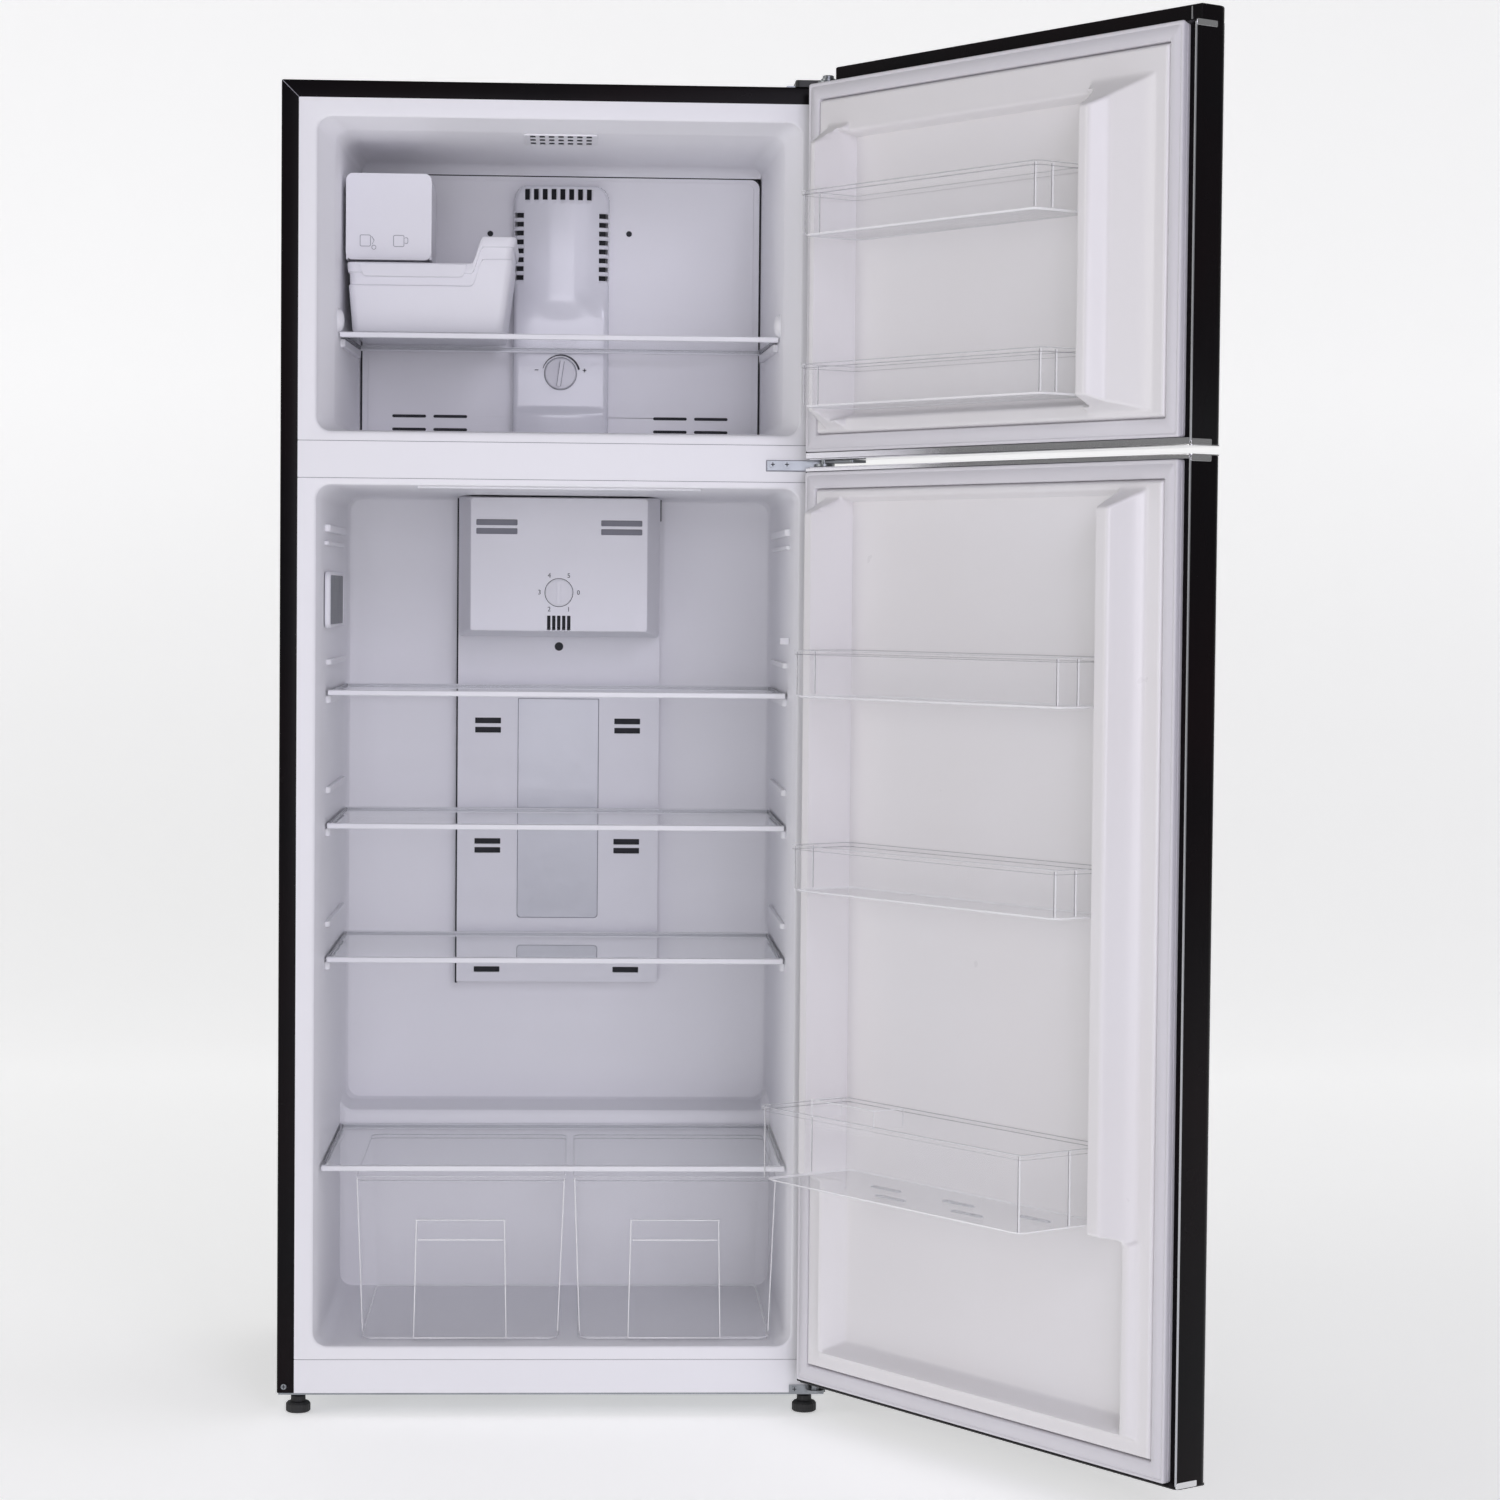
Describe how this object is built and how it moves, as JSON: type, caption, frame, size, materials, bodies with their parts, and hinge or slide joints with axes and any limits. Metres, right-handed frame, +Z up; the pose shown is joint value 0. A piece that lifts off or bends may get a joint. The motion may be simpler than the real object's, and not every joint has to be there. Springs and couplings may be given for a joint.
{
  "type": "top freezer refrigerator",
  "caption": "Tall black refrigerator with a freezer on top, both right-hinged doors open, white liners, glass shelves, clear drawers and door racks, an ice bin and levelling feet.",
  "frame": {"origin": "on the floor, under the centre of the cabinet footprint", "axes": "+Z up, +Y towards the cabinet's back, +X towards the hinge side; the door openings face -Y"},
  "size_m": [1.0897, 1.192, 1.706],
  "materials": {
    "black_steel": "high gloss black coated steel sheet",
    "foam": "rigid insulating foam, never seen",
    "white_liner": "vacuum-formed white plastic, satin",
    "door_liner": "vacuum-formed white plastic, satin",
    "white_plastic": "moulded white plastic, satin",
    "galvanised": "zinc-plated steel",
    "black_metal": "satin black paint",
    "aluminium_fins": "bare aluminium",
    "black_plastic": "black moulded plastic",
    "black_rubber": "black rubber bush",
    "silver_trim": "silver-coloured end strip",
    "gasket": "pale grey-lavender magnetic gasket",
    "dark_lens": "dark smoked lens",
    "clear_plastic": "clear polystyrene",
    "shelf_glass": "tempered glass with white trims"
  },
  "bodies": {
    "cabinet": {"cabinet_shell": "black_steel", "cabinet_foam": "foam", "freezer_liner": "white_liner", "fridge_liner": "white_liner", "back_panel": "galvanised", "mullion_rail": "white_liner", "kick_rail": "white_liner", "base_plate": "galvanised", "compressor": "black_metal", "drip_tray": "black_plastic", "machine_cover": "black_plastic", "evaporator": "aluminium_fins", "fan_motor": "black_plastic", "evaporator_cover": "white_plastic", "fan_duct_cover": "white_plastic", "ice_maker_housing": "white_plastic", "control_box": "white_plastic", "air_duct_panel": "white_plastic", "side_lamp_frame": "white_plastic", "side_lamp_lens": "dark_lens", "top_hinge": "galvanised", "hinge_cover": "black_plastic", "middle_hinge": "galvanised", "bottom_hinge": "galvanised", "hinge_screws": "galvanised", "cord_gland": "black_rubber"},
    "fan": {"evaporator_fan": "black_plastic"},
    "freezer_control": {"freezer_knob": "white_plastic"},
    "fridge_control": {"fridge_dial": "white_plastic"},
    "ice_maker_tray": {"ice_tray": "white_plastic"},
    "ice_box": {"ice_bin": "white_plastic"},
    "light_switch": {"door_switch": "white_plastic"},
    "left_foot": {"foot_left": "black_plastic"},
    "right_foot": {"foot_right": "black_plastic"},
    "rollers": {"rear_rollers": "black_plastic"},
    "freezer_shelf_body": {"freezer_shelf": "shelf_glass"},
    "shelf_1_body": {"shelf_1": "shelf_glass"},
    "shelf_2_body": {"shelf_2": "shelf_glass"},
    "shelf_3_body": {"shelf_3": "shelf_glass"},
    "crisper_cover_body": {"crisper_cover": "shelf_glass"},
    "crisper_left_body": {"crisper_left": "clear_plastic"},
    "crisper_right_body": {"crisper_right": "clear_plastic"},
    "freezer_door": {"freezer_door_skin": "black_steel", "freezer_door_foam": "foam", "freezer_door_liner": "door_liner", "freezer_gasket": "gasket", "freezer_door_top_cap": "black_plastic", "freezer_door_bottom_cap": "silver_trim"},
    "fridge_door": {"fridge_door_skin": "black_steel", "fridge_door_foam": "foam", "fridge_door_liner": "door_liner", "fridge_gasket": "gasket", "fridge_door_top_cap": "silver_trim", "fridge_door_bottom_cap": "black_plastic"},
    "freezer_rack_upper_body": {"freezer_rack_upper": "clear_plastic"},
    "freezer_rack_lower_body": {"freezer_rack_lower": "clear_plastic"},
    "door_rack_upper_body": {"door_rack_upper": "clear_plastic"},
    "door_rack_middle_body": {"door_rack_middle": "clear_plastic"},
    "bottle_rack_body": {"bottle_rack": "clear_plastic"},
    "bottle_clip_body": {"bottle_clip": "clear_plastic"}
  },
  "joints": [
    {"name": "freezer_door_hinge", "type": "hinge", "parent": "cabinet", "child": "freezer_door", "pos_m": [0.335, -0.321, 1.45], "axis": [0, 0, 1], "range_deg": [-124.5, 8]},
    {"name": "fridge_door_hinge", "type": "hinge", "parent": "cabinet", "child": "fridge_door", "pos_m": [0.335, -0.321, 0.62], "axis": [0, 0, 1], "range_deg": [-124.5, 8]},
    {"name": "freezer_rack_upper_lift", "type": "slide", "parent": "freezer_door", "child": "freezer_rack_upper_body", "axis": [0, 0, 1], "range_m": [0, 0.06]},
    {"name": "freezer_rack_lower_lift", "type": "slide", "parent": "freezer_door", "child": "freezer_rack_lower_body", "axis": [0, 0, 1], "range_m": [0, 0.06]},
    {"name": "door_rack_upper_lift", "type": "slide", "parent": "fridge_door", "child": "door_rack_upper_body", "axis": [0, 0, 1], "range_m": [0, 0.06]},
    {"name": "door_rack_middle_lift", "type": "slide", "parent": "fridge_door", "child": "door_rack_middle_body", "axis": [0, 0, 1], "range_m": [0, 0.06]},
    {"name": "bottle_rack_lift", "type": "slide", "parent": "fridge_door", "child": "bottle_rack_body", "axis": [0, 0, 1], "range_m": [0, 0.06]},
    {"name": "bottle_clip_slide", "type": "slide", "parent": "bottle_rack_body", "child": "bottle_clip_body", "axis": [-0.5664, 0.8241, 0], "range_m": [-0.15, 0.08]},
    {"name": "freezer_shelf_slide", "type": "slide", "parent": "cabinet", "child": "freezer_shelf_body", "axis": [0, -1, 0], "range_m": [0, 0.25]},
    {"name": "ice_bin_slide", "type": "slide", "parent": "freezer_shelf_body", "child": "ice_box", "axis": [0, -1, 0], "range_m": [0, 0.2]},
    {"name": "shelf_1_slide", "type": "slide", "parent": "cabinet", "child": "shelf_1_body", "axis": [0, -1, 0], "range_m": [0, 0.35]},
    {"name": "shelf_2_slide", "type": "slide", "parent": "cabinet", "child": "shelf_2_body", "axis": [0, -1, 0], "range_m": [0, 0.35]},
    {"name": "shelf_3_slide", "type": "slide", "parent": "cabinet", "child": "shelf_3_body", "axis": [0, -1, 0], "range_m": [0, 0.35]},
    {"name": "crisper_cover_slide", "type": "slide", "parent": "cabinet", "child": "crisper_cover_body", "axis": [0, -1, 0], "range_m": [0, 0.35]},
    {"name": "crisper_left_slide", "type": "slide", "parent": "cabinet", "child": "crisper_left_body", "axis": [0, -1, 0], "range_m": [0, 0.33]},
    {"name": "crisper_right_slide", "type": "slide", "parent": "cabinet", "child": "crisper_right_body", "axis": [0, -1, 0], "range_m": [0, 0.33]},
    {"name": "freezer_knob_turn", "type": "hinge", "parent": "cabinet", "child": "freezer_control", "pos_m": [0, 0.053, 1.346], "axis": [0, -1, 0], "range_deg": [-120, 120]},
    {"name": "fridge_dial_turn", "type": "hinge", "parent": "cabinet", "child": "fridge_control", "pos_m": [0, 0.069, 1.049], "axis": [0, -1, 0], "range_deg": [0, 300]},
    {"name": "evaporator_fan_spin", "type": "hinge", "parent": "cabinet", "child": "fan", "pos_m": [0, 0.081, 1.516], "axis": [0, 1, 0], "continuous": true},
    {"name": "ice_tray_twist", "type": "hinge", "parent": "cabinet", "child": "ice_maker_tray", "pos_m": [-0.221, -0.1035, 1.53], "axis": [0, 1, 0], "range_deg": [0, 150]},
    {"name": "door_switch_press", "type": "slide", "parent": "cabinet", "child": "light_switch", "axis": [1, 0, 0], "range_m": [0, 0.006], "stiffness_N_per_m": 200},
    {"name": "foot_left_turn", "type": "hinge", "parent": "cabinet", "child": "left_foot", "pos_m": [-0.324, -0.273, 0.01], "axis": [0, 0, 1], "continuous": true},
    {"name": "foot_right_turn", "type": "hinge", "parent": "cabinet", "child": "right_foot", "pos_m": [0.324, -0.273, 0.01], "axis": [0, 0, 1], "continuous": true},
    {"name": "rear_rollers_roll", "type": "hinge", "parent": "cabinet", "child": "rollers", "pos_m": [0, 0.253, 0.012], "axis": [1, 0, 0], "continuous": true}
  ]
}
